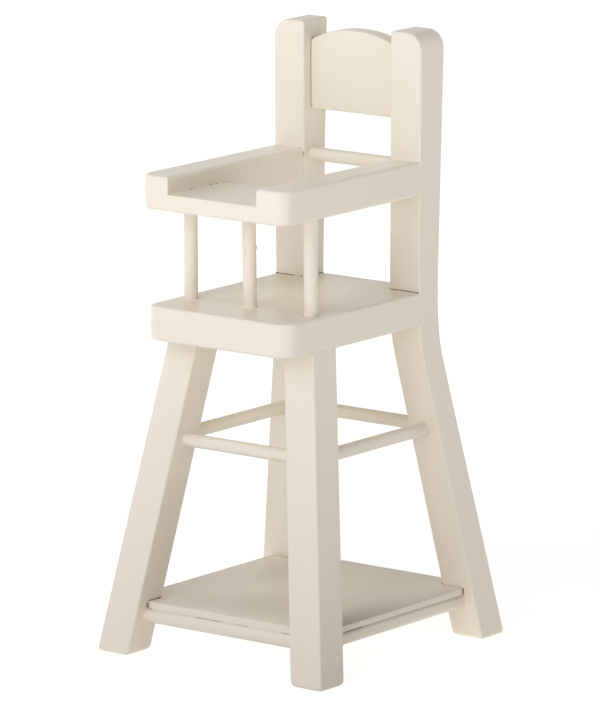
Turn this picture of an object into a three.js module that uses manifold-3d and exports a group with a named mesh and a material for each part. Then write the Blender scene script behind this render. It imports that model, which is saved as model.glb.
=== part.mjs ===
// A doll's wooden high chair, in millimetres. +Z is up, -Y is the front and x = 0 is the middle.
// It is laid out with y = 0 on the front face of the posts and z = 0 on the floor.
import * as THREE from 'three';
import { mergeVertices } from 'three/addons/utils/BufferGeometryUtils.js';
import Module from 'manifold-3d';

const wasm = await Module();
wasm.setup();

// Boards and dowels that the chair is cut from
const boardThickness = 10;
const trayThickness = 5;
const panelThickness = 5.4;
const shelfThickness = 2.2;
const dowelDiameter = 4;
const pinDiameter = 2.4;

// Fits. A butt joint has the glue line between its faces, and a hole or notch has the fit all round.
// Where two holes would meet inside a piece, one stops with this much wood left between them.
const glueLine = 0.1;
const fit = 0.3;
const holeWall = 0.5;

// Softened edges of the boards and of the legs
const edgeRadius = 0.7;

// Heights above the floor
const postHeight = 178.3;
const seatTop = 103;
const upperRailHeight = 62.5;
const shelfTop = 15.4;

// Posts above the seat. They open outwards, and from a little over the seat they grow deeper.
const postSpan = 52.4;
const postWidth = 10.9;
const postDepth = 9.3;
const postDepthGain = 2.2;
const postOutwardLean = 0.4;
const postPlumbRise = 5;
const postCorner = 5.3;

// Rear legs below the seat: how far each face has travelled at the floor, how far under the seat its
// knee is, and the length of the bend there
const rearLegOutward = 14.7;
const rearLegFrontTravel = 11.5;
const rearLegBackTravel = 12.9;
const rearSideKneeDrop = 1;
const rearFrontKneeDrop = 5;
const rearBackKneeDrop = 7;
const rearSideBend = 18;
const rearFrontBend = 8;
const rearBackBend = 11;

// Front legs, straight from the seat to the floor. Their setback is from the seat's front edge.
const frontLegWidth = 10.7;
const frontLegDepth = 10.9;
const frontLegSetback = 11.65;
const frontLegOutward = 14.5;
const frontLegForward = 15.9;

// Seat, arms and tray. The seat reaches forward from the posts, and the arms and the tray a little
// further than the seat. The spindles are set back from the arms' front and inset from their outer sides.
const seatReach = 61.65;
const seatCorner = 5;
const armRise = 38.2;
const armOverhang = 1.65;
const armWidth = 10.4;
const armCorner = 4.5;
const trayDepth = 27.7;
const spindleSetback = 17.9;
const spindleInset = 4.6;

// Back panel and rod: the panel's drop is from the posts' top, the rod's is from the panel's bottom,
// and the setbacks are from the posts' front face
const panelDrop = 1.9;
const panelArchRise = 3.8;
const panelSideHeight = 20.3;
const panelSetback = 3.6;
const rodDrop = 13.4;
const rodSetback = 4.2;

// Shelf: how far it reaches past the legs' inner faces on each side
const shelfSideReach = 8;
const shelfFrontReach = 6.7;
const shelfBackReach = 7.5;

// Depths of the drilled holes, and how far the panel's pins are from its bottom and its shoulders
const railSocket = 4;
const spindleSocket = 4;
const traySocket = 3;
const pinSocket = 6;
const panelPinInset = 4.5;

// How finely curves are divided
const roundSides = 16;
const pinSides = 10;
const cornerSteps = 6;
const edgeSteps = 2;
const bendSteps = 10;
const archSteps = 14;

// Worked out from the sizes above
const dowelRadius = dowelDiameter / 2;
const pinRadius = pinDiameter / 2;
const dowelHoleRadius = dowelRadius + fit;
const pinHoleRadius = pinRadius + fit;
const halfSpan = postSpan / 2;
const innerHalfSpan = halfSpan - postWidth;
const seatUnderside = seatTop - boardThickness;
const rearSideKnee = seatUnderside - rearSideKneeDrop;
const rearFrontKnee = seatUnderside - rearFrontKneeDrop;
const rearBackKnee = seatUnderside - rearBackKneeDrop;
const postLeanStart = seatTop + postPlumbRise;
const panelArchTop = postHeight - panelDrop;
const panelSideTop = panelArchTop - panelArchRise;
const panelBottom = panelSideTop - panelSideHeight;
const rodHeight = panelBottom - rodDrop;
const armTop = seatTop + armRise;
const armUnderside = armTop - boardThickness;
const trayTop = armUnderside + trayThickness;
const shelfUnderside = shelfTop - shelfThickness;
const lowerRailHeight = shelfUnderside - dowelRadius;
const armInnerSide = halfSpan - armWidth;
const armReach = seatReach + armOverhang;

// Paint and bare wood
const paintedWood = { color: 0xe9dfcd, roughness: 0.5, metalness: 0 };
const bareWood = { color: 0xd9b98a, roughness: 0.75, metalness: 0 };

const chair = new THREE.Group();

function addPiece(name, geometry, finish) {
  const mesh = new THREE.Mesh(geometry, new THREE.MeshStandardMaterial(finish));
  mesh.name = name;
  chair.add(mesh);
}

// Solids for cutting

function toSolid(geometry) {
  const bare = geometry.clone();
  bare.deleteAttribute('normal');
  bare.deleteAttribute('uv');
  const merged = mergeVertices(bare);
  return new wasm.Manifold(new wasm.Mesh({
    numProp: 3,
    vertProperties: new Float32Array(merged.attributes.position.array),
    triVerts: new Uint32Array(merged.index.array),
  }));
}

function toGeometry(solid) {
  const mesh = solid.getMesh();
  const geometry = new THREE.BufferGeometry();
  geometry.setAttribute('position', new THREE.BufferAttribute(mesh.vertProperties, 3));
  geometry.setIndex(new THREE.BufferAttribute(mesh.triVerts, 1));
  geometry.computeVertexNormals();
  return geometry;
}

function cutAway(geometry, cutters) {
  let solid = toSolid(geometry);
  for (const cutter of cutters) {
    solid = solid.subtract(toSolid(cutter));
  }
  return toGeometry(solid);
}

// A round bar between two points
function roundBar(from, to, radius, sides) {
  const along = new THREE.Vector3().subVectors(to, from);
  const bar = new THREE.CylinderGeometry(radius, radius, along.length(), sides);
  const up = new THREE.Vector3(0, 1, 0);
  bar.applyQuaternion(new THREE.Quaternion().setFromUnitVectors(up, along.normalize()));
  const middle = new THREE.Vector3().addVectors(from, to).multiplyScalar(0.5);
  return bar.translate(middle.x, middle.y, middle.z);
}

// A dowel that ends a fit short of the bottom of its two holes
function dowelBetween(from, to, radius, sides) {
  const along = new THREE.Vector3().subVectors(to, from).normalize().multiplyScalar(fit);
  return roundBar(from.clone().add(along), to.clone().sub(along), radius, sides);
}

// A flat board with softened edges, from its outline. The outline lies in the board's own plane.
function board(outline, thickness) {
  const geometry = new THREE.ExtrudeGeometry(outline, {
    depth: thickness - 2 * edgeRadius,
    bevelEnabled: true,
    bevelThickness: edgeRadius,
    bevelSize: edgeRadius,
    bevelOffset: -edgeRadius,
    bevelSegments: edgeSteps,
    curveSegments: cornerSteps,
  });
  return geometry.translate(0, 0, edgeRadius);
}

// Travel of a rear leg's face at height z. It is plumb above the knee, runs straight to its full travel
// at the floor, and turns from one to the other over the length of the bend.
function splay(z, travel, knee, bend) {
  const slope = travel / knee;
  const below = knee + bend / 2 - z;
  if (below <= 0) return 0;
  if (below >= bend) return slope * (knee - z);
  return slope * below * below / (2 * bend);
}

// Faces of the right rear post and leg at height z: x0 inner, x1 outer, y0 front, y1 back
function rearSection(z) {
  const rise = Math.max(z - seatTop, 0) / (postHeight - seatTop);
  const outward = splay(z, rearLegOutward, rearSideKnee, rearSideBend) + postOutwardLean * rise;
  const lean = Math.max(z - postLeanStart, 0) / (postHeight - postLeanStart);
  const cornerRise = Math.max(z - (postHeight - postCorner), 0);
  const cornerCut = postCorner - Math.sqrt(Math.max(postCorner ** 2 - cornerRise ** 2, 0));
  return {
    z,
    x0: innerHalfSpan + outward,
    x1: halfSpan + outward - cornerCut,
    y0: splay(z, rearLegFrontTravel, rearFrontKnee, rearFrontBend),
    y1: postDepth + splay(z, rearLegBackTravel, rearBackKnee, rearBackBend) + postDepthGain * lean,
  };
}

// Faces of the right front leg at height z
function frontSection(z) {
  const drop = (seatUnderside - z) / seatUnderside;
  const outer = halfSpan + frontLegOutward * drop;
  const front = frontLegSetback - seatReach - frontLegForward * drop;
  return { z, x0: outer - frontLegWidth, x1: outer, y0: front, y1: front + frontLegDepth };
}

function middleOf(section) {
  return new THREE.Vector2((section.x0 + section.x1) / 2, (section.y0 + section.y1) / 2);
}

function stepsBetween(low, high, count) {
  return Array.from({ length: count + 1 }, (_, i) => low + (high - low) * i / count);
}

// A bar of rounded rectangular section that follows a row of sections from low to high.
// It starts as a straight bar of unit steps, and each point then moves to its own section.
function barThrough(sections) {
  const steps = sections.length - 1;
  const core = edgeRadius;
  const shape = new THREE.Shape();
  shape.absarc(core, core, edgeRadius, 0, Math.PI / 2);
  shape.absarc(-core, core, edgeRadius, Math.PI / 2, Math.PI);
  shape.absarc(-core, -core, edgeRadius, Math.PI, 1.5 * Math.PI);
  shape.absarc(core, -core, edgeRadius, 1.5 * Math.PI, 2 * Math.PI);
  const end = edgeRadius / 2;
  const geometry = new THREE.ExtrudeGeometry(shape, {
    depth: steps,
    steps,
    bevelEnabled: true,
    bevelThickness: end,
    bevelSize: end,
    bevelOffset: -end,
    bevelSegments: 1,
    curveSegments: edgeSteps,
  });
  const position = geometry.attributes.position;
  for (let i = 0; i < position.count; i += 1) {
    const x = position.getX(i);
    const y = position.getY(i);
    const level = THREE.MathUtils.clamp(position.getZ(i), 0, steps);
    const section = sections[Math.round(level)];
    const cornerX = x > 0 ? section.x1 - edgeRadius : section.x0 + edgeRadius;
    const cornerY = y > 0 ? section.y1 - edgeRadius : section.y0 + edgeRadius;
    position.setXYZ(
      i,
      cornerX + x - Math.sign(x) * core,
      cornerY + y - Math.sign(y) * core,
      section.z + position.getZ(i) - level,
    );
  }
  geometry.computeVertexNormals();
  return geometry;
}

// The heights are those of the foot, of steps through the bend, and for a post of its round top corner
function rearLegBar() {
  const bends = [[rearSideKnee, rearSideBend], [rearFrontKnee, rearFrontBend], [rearBackKnee, rearBackBend]];
  const low = Math.min(...bends.map(([knee, bend]) => knee - bend / 2));
  const high = Math.max(...bends.map(([knee, bend]) => knee + bend / 2));
  const cornerStart = postHeight - postCorner;
  const topTurn = Math.asin((postCorner - edgeRadius / 2) / postCorner);
  const heights = [
    edgeRadius / 2,
    ...stepsBetween(low, high, bendSteps),
    postLeanStart,
    ...stepsBetween(0, topTurn, cornerSteps).map((turn) => cornerStart + postCorner * Math.sin(turn)),
  ];
  return barThrough(heights.sort((a, b) => a - b).map(rearSection));
}

function frontLegBar() {
  return barThrough([edgeRadius / 2, seatUnderside - glueLine - edgeRadius / 2].map(frontSection));
}

// Left-hand pieces are the right-hand ones mirrored in x
function mirrorPoint(point) {
  return new THREE.Vector3(-point.x, point.y, point.z);
}

function mirrorGeometry(geometry) {
  const mirrored = geometry.clone().scale(-1, 1, 1);
  const flat = mirrored.index ? mirrored.toNonIndexed() : mirrored;
  const position = flat.attributes.position;
  for (let i = 0; i < position.count; i += 3) {
    const second = new THREE.Vector3().fromBufferAttribute(position, i + 1);
    const third = new THREE.Vector3().fromBufferAttribute(position, i + 2);
    position.setXYZ(i + 1, third.x, third.y, third.z);
    position.setXYZ(i + 2, second.x, second.y, second.z);
  }
  flat.computeVertexNormals();
  return flat;
}

// Rails between the legs. Lengthwise ones run along y, from a front leg to a rear one. Sideways ones run
// along x and stop short of the lengthwise rails' holes, which are at the same height in each leg.
function sidewaysRail(section, z) {
  const middle = middleOf(section);
  const end = middle.x - dowelHoleRadius - holeWall;
  return { from: new THREE.Vector3(-end, middle.y, z), to: new THREE.Vector3(end, middle.y, z) };
}

function lengthwiseRail(z) {
  const front = frontSection(z);
  const rear = rearSection(z);
  return {
    from: new THREE.Vector3(middleOf(front).x, front.y1 - railSocket, z),
    to: new THREE.Vector3(middleOf(rear).x, rear.y0 + railSocket, z),
  };
}

const rails = {
  upper_front_rail: sidewaysRail(frontSection(upperRailHeight), upperRailHeight),
  upper_back_rail: sidewaysRail(rearSection(upperRailHeight), upperRailHeight),
  upper_right_rail: lengthwiseRail(upperRailHeight),
  lower_front_rail: sidewaysRail(frontSection(lowerRailHeight), lowerRailHeight),
  lower_back_rail: sidewaysRail(rearSection(lowerRailHeight), lowerRailHeight),
  lower_right_rail: lengthwiseRail(lowerRailHeight),
};

for (const level of ['upper', 'lower']) {
  const right = rails[`${level}_right_rail`];
  rails[`${level}_left_rail`] = { from: mirrorPoint(right.from), to: mirrorPoint(right.to) };
}

// The rod in the back stops short of the arm pins' holes
const armMiddle = halfSpan - armWidth / 2;
const rodEnd = armMiddle - pinHoleRadius - holeWall;
const backRod = {
  from: new THREE.Vector3(-rodEnd, rodSetback, rodHeight),
  to: new THREE.Vector3(rodEnd, rodSetback, rodHeight),
};

// The spindles under the arms and the tray
const spindleX = halfSpan - spindleInset;
const spindleY = spindleSetback - armReach;

function spindleAt(x, socket) {
  return {
    from: new THREE.Vector3(x, spindleY, seatTop - spindleSocket),
    to: new THREE.Vector3(x, spindleY, armUnderside + socket),
  };
}

const spindles = {
  left_spindle: spindleAt(-spindleX, spindleSocket),
  middle_spindle: spindleAt(0, traySocket),
  right_spindle: spindleAt(spindleX, spindleSocket),
};

// Hidden pins on the right-hand side. The leg's pin stops short of the hole of the spindle over it.
const legTop = middleOf(frontSection(seatUnderside));
const boardMiddle = boardThickness / 2;
const legPinTop = seatTop - spindleSocket - holeWall;

const armPin = {
  from: new THREE.Vector3(armMiddle, -pinSocket, armTop - boardMiddle),
  to: new THREE.Vector3(armMiddle, pinSocket, armTop - boardMiddle),
};

const legPin = {
  from: new THREE.Vector3(legTop.x, legTop.y, seatUnderside - pinSocket),
  to: new THREE.Vector3(legTop.x, legTop.y, legPinTop),
};

const seatPin = {
  from: new THREE.Vector3(innerHalfSpan - pinSocket, postDepth / 2, seatTop - boardMiddle),
  to: new THREE.Vector3(innerHalfSpan + pinSocket, postDepth / 2, seatTop - boardMiddle),
};

function panelPinAt(z) {
  const x = rearSection(z).x0;
  const y = panelSetback + panelThickness / 2;
  return { from: new THREE.Vector3(x - pinSocket, y, z), to: new THREE.Vector3(x + pinSocket, y, z) };
}

const lowerPanelPin = panelPinAt(panelBottom + panelPinInset);
const upperPanelPin = panelPinAt(panelSideTop - panelPinInset);

const rightPins = {
  arm_pin: armPin,
  leg_pin: legPin,
  seat_pin: seatPin,
  lower_panel_pin: lowerPanelPin,
  upper_panel_pin: upperPanelPin,
};

function dowelHole(line) {
  return roundBar(line.from, line.to, dowelHoleRadius, roundSides);
}

function pinHole(line) {
  return roundBar(line.from, line.to, pinHoleRadius, pinSides);
}

function mirrorLine(line) {
  return { from: mirrorPoint(line.from), to: mirrorPoint(line.to) };
}

// Posts and legs

function addLegs() {
  const rear = cutAway(rearLegBar(), [
    dowelHole(rails.upper_back_rail),
    dowelHole(rails.upper_right_rail),
    dowelHole(rails.lower_back_rail),
    dowelHole(rails.lower_right_rail),
    dowelHole(backRod),
    pinHole(armPin),
    pinHole(seatPin),
    pinHole(lowerPanelPin),
    pinHole(upperPanelPin),
  ]);
  const front = cutAway(frontLegBar(), [
    dowelHole(rails.upper_front_rail),
    dowelHole(rails.upper_right_rail),
    dowelHole(rails.lower_front_rail),
    dowelHole(rails.lower_right_rail),
    pinHole(legPin),
  ]);
  addPiece('left_rear_post', mirrorGeometry(rear), paintedWood);
  addPiece('right_rear_post', rear, paintedWood);
  addPiece('left_front_leg', mirrorGeometry(front), paintedWood);
  addPiece('right_front_leg', front, paintedWood);
}

// The seat: round front corners, and a notch for each post at the back

function seatOutline() {
  const notchX = innerHalfSpan - fit;
  const shape = new THREE.Shape();
  shape.moveTo(-notchX, postDepth);
  shape.lineTo(-notchX, -fit);
  shape.lineTo(-halfSpan, -fit);
  shape.lineTo(-halfSpan, seatCorner - seatReach);
  shape.absarc(seatCorner - halfSpan, seatCorner - seatReach, seatCorner, Math.PI, 1.5 * Math.PI);
  shape.absarc(halfSpan - seatCorner, seatCorner - seatReach, seatCorner, 1.5 * Math.PI, 2 * Math.PI);
  shape.lineTo(halfSpan, -fit);
  shape.lineTo(notchX, -fit);
  shape.lineTo(notchX, postDepth);
  shape.closePath();
  return shape;
}

function addSeat() {
  const blank = board(seatOutline(), boardThickness).translate(0, 0, seatUnderside);
  addPiece('seat', cutAway(blank, [
    ...Object.values(spindles).map(dowelHole),
    pinHole(legPin),
    pinHole(mirrorLine(legPin)),
    pinHole(seatPin),
    pinHole(mirrorLine(seatPin)),
  ]), paintedWood);
}

// The right arm: a rail with one round corner, at the front outside

function armOutline() {
  const shape = new THREE.Shape();
  shape.moveTo(armInnerSide, -glueLine);
  shape.lineTo(armInnerSide, -armReach);
  shape.absarc(halfSpan - armCorner, armCorner - armReach, armCorner, 1.5 * Math.PI, 2 * Math.PI);
  shape.lineTo(halfSpan, -glueLine);
  shape.closePath();
  return shape;
}

function addArms() {
  const blank = board(armOutline(), boardThickness).translate(0, 0, armUnderside);
  const arm = cutAway(blank, [dowelHole(spindles.right_spindle), pinHole(armPin)]);
  addPiece('left_arm', mirrorGeometry(arm), paintedWood);
  addPiece('right_arm', arm, paintedWood);
}

function addTrayBoard() {
  const half = armInnerSide - glueLine;
  const shape = new THREE.Shape();
  shape.moveTo(-half, -armReach);
  shape.lineTo(half, -armReach);
  shape.lineTo(half, trayDepth - armReach);
  shape.lineTo(-half, trayDepth - armReach);
  shape.closePath();
  const blank = board(shape, trayThickness).translate(0, 0, armUnderside);
  addPiece('tray_board', cutAway(blank, [dowelHole(spindles.middle_spindle)]), paintedWood);
}

// The back panel, drawn in the x-z plane with its arch on top, and stood up behind the posts' front face

function panelOutline() {
  const low = rearSection(panelBottom).x0 - glueLine;
  const high = rearSection(panelSideTop).x0 - glueLine;
  const archRadius = (high ** 2 + panelArchRise ** 2) / (2 * panelArchRise);
  const halfTurn = Math.asin(high / archRadius);
  const shape = new THREE.Shape();
  shape.moveTo(-low, panelBottom);
  shape.lineTo(low, panelBottom);
  for (let i = 0; i <= archSteps; i += 1) {
    const turn = halfTurn * (1 - 2 * i / archSteps);
    shape.lineTo(archRadius * Math.sin(turn), panelArchTop - archRadius * (1 - Math.cos(turn)));
  }
  shape.closePath();
  return shape;
}

function addPanel() {
  const blank = board(panelOutline(), panelThickness).rotateX(Math.PI / 2);
  blank.translate(0, panelSetback + panelThickness, 0);
  addPiece('back_panel', cutAway(blank, [
    pinHole(lowerPanelPin),
    pinHole(upperPanelPin),
    pinHole(mirrorLine(lowerPanelPin)),
    pinHole(mirrorLine(upperPanelPin)),
  ]), paintedWood);
}

// The shelf lies on the lower rails. Its corners are cut out round the legs' inner faces.

function addShelf() {
  const front = frontSection(shelfTop);
  const rear = rearSection(shelfTop);
  const notchFront = front.y1 + fit;
  const notchRear = rear.y0 - fit;
  const notchX = Math.min(front.x0, rear.x0) - fit;
  const sideX = notchX + shelfSideReach;
  const frontY = notchFront - shelfFrontReach;
  const backY = notchRear + shelfBackReach;
  const shape = new THREE.Shape();
  shape.moveTo(-notchX, frontY);
  shape.lineTo(notchX, frontY);
  shape.lineTo(notchX, notchFront);
  shape.lineTo(sideX, notchFront);
  shape.lineTo(sideX, notchRear);
  shape.lineTo(notchX, notchRear);
  shape.lineTo(notchX, backY);
  shape.lineTo(-notchX, backY);
  shape.lineTo(-notchX, notchRear);
  shape.lineTo(-sideX, notchRear);
  shape.lineTo(-sideX, notchFront);
  shape.lineTo(-notchX, notchFront);
  shape.closePath();
  const shelf = new THREE.ExtrudeGeometry(shape, { depth: shelfThickness, bevelEnabled: false });
  addPiece('foot_shelf', shelf.translate(0, 0, shelfUnderside), paintedWood);
}

function addDowels() {
  for (const [name, line] of Object.entries({ ...rails, ...spindles, back_rod: backRod })) {
    addPiece(name, dowelBetween(line.from, line.to, dowelRadius, roundSides), paintedWood);
  }
}

function addPins() {
  for (const [name, line] of Object.entries(rightPins)) {
    const left = mirrorLine(line);
    addPiece(`right_${name}`, dowelBetween(line.from, line.to, pinRadius, pinSides), bareWood);
    addPiece(`left_${name}`, dowelBetween(left.from, left.to, pinRadius, pinSides), bareWood);
  }
}

addLegs();
addSeat();
addArms();
addTrayBoard();
addPanel();
addShelf();
addDowels();
addPins();

// The origin goes to the middle of the footprint
const footprint = new THREE.Box3().setFromObject(chair);
chair.position.y = -(footprint.min.y + footprint.max.y) / 2;
chair.updateMatrixWorld(true);

export default chair;
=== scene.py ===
import math
import bmesh
import bpy
import numpy as np
from mathutils import Matrix, Vector


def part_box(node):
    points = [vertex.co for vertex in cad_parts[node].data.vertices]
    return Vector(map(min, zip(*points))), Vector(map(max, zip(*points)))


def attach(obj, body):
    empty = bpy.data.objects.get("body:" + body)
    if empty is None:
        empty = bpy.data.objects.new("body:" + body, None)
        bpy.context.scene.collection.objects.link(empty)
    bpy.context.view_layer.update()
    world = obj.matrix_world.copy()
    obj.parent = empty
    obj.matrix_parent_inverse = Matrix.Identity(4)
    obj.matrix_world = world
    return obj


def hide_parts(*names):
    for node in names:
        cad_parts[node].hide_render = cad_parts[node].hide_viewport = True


# Doll's wooden high chair in satin cream paint. Metres, +Z up, -Y is the tray's side, +X is on the
# right seen from the front. Every board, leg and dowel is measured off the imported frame.
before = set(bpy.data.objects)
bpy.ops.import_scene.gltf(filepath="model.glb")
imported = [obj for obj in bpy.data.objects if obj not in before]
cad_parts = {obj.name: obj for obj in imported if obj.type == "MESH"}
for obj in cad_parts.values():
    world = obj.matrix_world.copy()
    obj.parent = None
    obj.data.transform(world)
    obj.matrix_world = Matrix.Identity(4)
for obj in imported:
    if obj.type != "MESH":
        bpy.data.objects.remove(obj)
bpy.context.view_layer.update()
mm = 0.001
hair = 0.001 * mm  # for comparing heights and merging points
scene = bpy.context.scene
print("frame loaded:", len(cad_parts), "nodes")


# Reading the frame

def sectionAt(node, height):  # x and y limits of a CAD node where a level plane cuts it
    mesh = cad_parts[node].data
    points = np.array([v.co for v in mesh.vertices])
    ends = np.array([e.vertices[:] for e in mesh.edges])
    a, b = points[ends[:, 0]], points[ends[:, 1]]
    cut = (a[:, 2] - height) * (b[:, 2] - height) < 0
    a, b = a[cut], b[cut]
    hits = a + (b - a) * ((height - a[:, 2]) / (b[:, 2] - a[:, 2]))[:, None]
    return hits[:, 0].min(), hits[:, 0].max(), hits[:, 1].min(), hits[:, 1].max()


def sectionPastChamfer(node, height, gap):  # like sectionAt, but run on in a line past a chamfered end
    near = np.array(sectionAt(node, height + gap))
    far = np.array(sectionAt(node, height + 2 * gap))
    return tuple(2 * near - far)


sides = {"left": -1, "right": 1}  # and the way out along x
seatLow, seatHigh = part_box("seat")
armLow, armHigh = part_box("right_arm")
trayLow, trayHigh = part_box("tray_board")
panelLow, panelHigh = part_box("back_panel")
shelfLow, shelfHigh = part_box("foot_shelf")
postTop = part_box("right_rear_post")[1].z
plumbPart = sectionAt("right_rear_post", (seatHigh.z + armLow.z) / 2)
postInner, postFront = plumbPart[0], plumbPart[2]


# Meshes and objects

paint = {}  # materials by finish, filled further down


def addObject(name, mesh):
    piece = bpy.data.objects.new(name, mesh)
    scene.collection.objects.link(piece)
    return piece


def bake(piece):  # the evaluated mesh, with its modifiers gone
    graph = bpy.context.evaluated_depsgraph_get()
    graph.update()
    mesh = bpy.data.meshes.new_from_object(piece.evaluated_get(graph), depsgraph=graph)
    mesh.name = piece.name
    piece.modifiers.clear()
    piece.data = mesh
    return piece


def settle(piece, finish, *nodes):  # onto its body, in its finish, in place of its CAD nodes
    piece.data.materials.clear()
    piece.data.materials.append(paint[finish])
    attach(piece, "root")
    if nodes:
        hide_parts(*nodes)


def softEdges(piece, width, segments=5):  # rounds each edge by its own share of the width
    bevel = piece.modifiers.new("softEdges", "BEVEL")
    bevel.limit_method = "WEIGHT"
    bevel.width = width
    bevel.segments = segments
    bevel.harden_normals = True
    bevel.use_clamp_overlap = False
    for face in piece.data.polygons:
        face.use_smooth = True
    return bake(piece)


# a closed bar through rings of corners; share gives each edge's rounding, or None where faces join flat;
# ties are pairs of corners with an edge between them across both end faces
def loft(name, rings, share, ties=()):
    bm = bmesh.new()
    rows = [[bm.verts.new(corner) for corner in ring] for ring in rings]
    count = len(rows[0])
    weight = bm.edges.layers.float.new("bevel_weight_edge")
    for low, high in zip(rows, rows[1:]):
        for i in range(count):
            j = (i + 1) % count
            bm.faces.new((low[i], low[j], high[j], high[i]))
    bm.faces.new(rows[0][::-1])
    bm.faces.new(rows[-1])
    for i, j in ties:
        for row in (rows[0], rows[-1]):
            bmesh.ops.connect_verts(bm, verts=[row[i], row[j]])
    index = {v: (level, i) for level, row in enumerate(rows) for i, v in enumerate(row)}
    flat = []
    for edge in bm.edges:
        rounding = share(*sorted(index[v] for v in edge.verts))
        edge[weight] = rounding or 0.0
        if rounding is None:
            flat.append(edge)
    bmesh.ops.dissolve_edges(bm, edges=flat, use_verts=True)
    for edge in bm.edges:
        edge.smooth = edge[weight] > 0 or edge.calc_face_angle() < math.radians(30)
    mesh = bpy.data.meshes.new(name)
    bm.to_mesh(mesh)
    bm.free()
    return addObject(name, mesh)


# Geometry Nodes

def newTree(name, inputs):
    tree = bpy.data.node_groups.new(name, "GeometryNodeTree")
    tree.is_modifier = True
    for label, kind in inputs:
        tree.interface.new_socket(label, in_out="INPUT", socket_type="NodeSocket" + kind)
    tree.interface.new_socket("Geometry", in_out="OUTPUT", socket_type="NodeSocketGeometry")
    given = tree.nodes.new("NodeGroupInput").outputs
    return tree, given


def addNode(tree, kind, inputs=None, **settings):
    node = tree.nodes.new(kind)
    for key, value in settings.items():
        setattr(node, key, value)
    for key, value in (inputs or {}).items():
        if isinstance(value, bpy.types.NodeSocket):
            tree.links.new(value, node.inputs[key])
        else:
            node.inputs[key].default_value = value
    return node


def maths(tree, operation, *values):
    return addNode(tree, "ShaderNodeMath", dict(enumerate(values)), operation=operation).outputs[0]


def vectors(tree, operation, *values):
    node = addNode(tree, "ShaderNodeVectorMath", dict(enumerate(values)), operation=operation)
    return node.outputs["Value" if operation in ("DOT_PRODUCT", "LENGTH", "DISTANCE") else "Vector"]


def scaled(tree, vector, factor):
    node = addNode(tree, "ShaderNodeVectorMath", {0: vector, "Scale": factor}, operation="SCALE")
    return node.outputs["Vector"]


def finishTree(tree, geometry, material):
    real = addNode(tree, "GeometryNodeRealizeInstances", {"Geometry": geometry})
    coated = addNode(tree, "GeometryNodeSetMaterial", {"Geometry": real.outputs[0], "Material": material})
    tree.links.new(coated.outputs[0], tree.nodes.new("NodeGroupOutput").inputs[0])
    return tree


def grow(name, tree, base=None, **values):  # runs a tree on a base mesh, or on none, and keeps the result
    piece = addObject(name, base or bpy.data.meshes.new(name))
    modifier = piece.modifiers.new(tree.name, "NODES")
    modifier.node_group = tree
    for item in tree.interface.items_tree:
        if item.in_out == "INPUT" and item.name in values:
            modifier[item.identifier] = values[item.name]
    return bake(piece)


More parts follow.
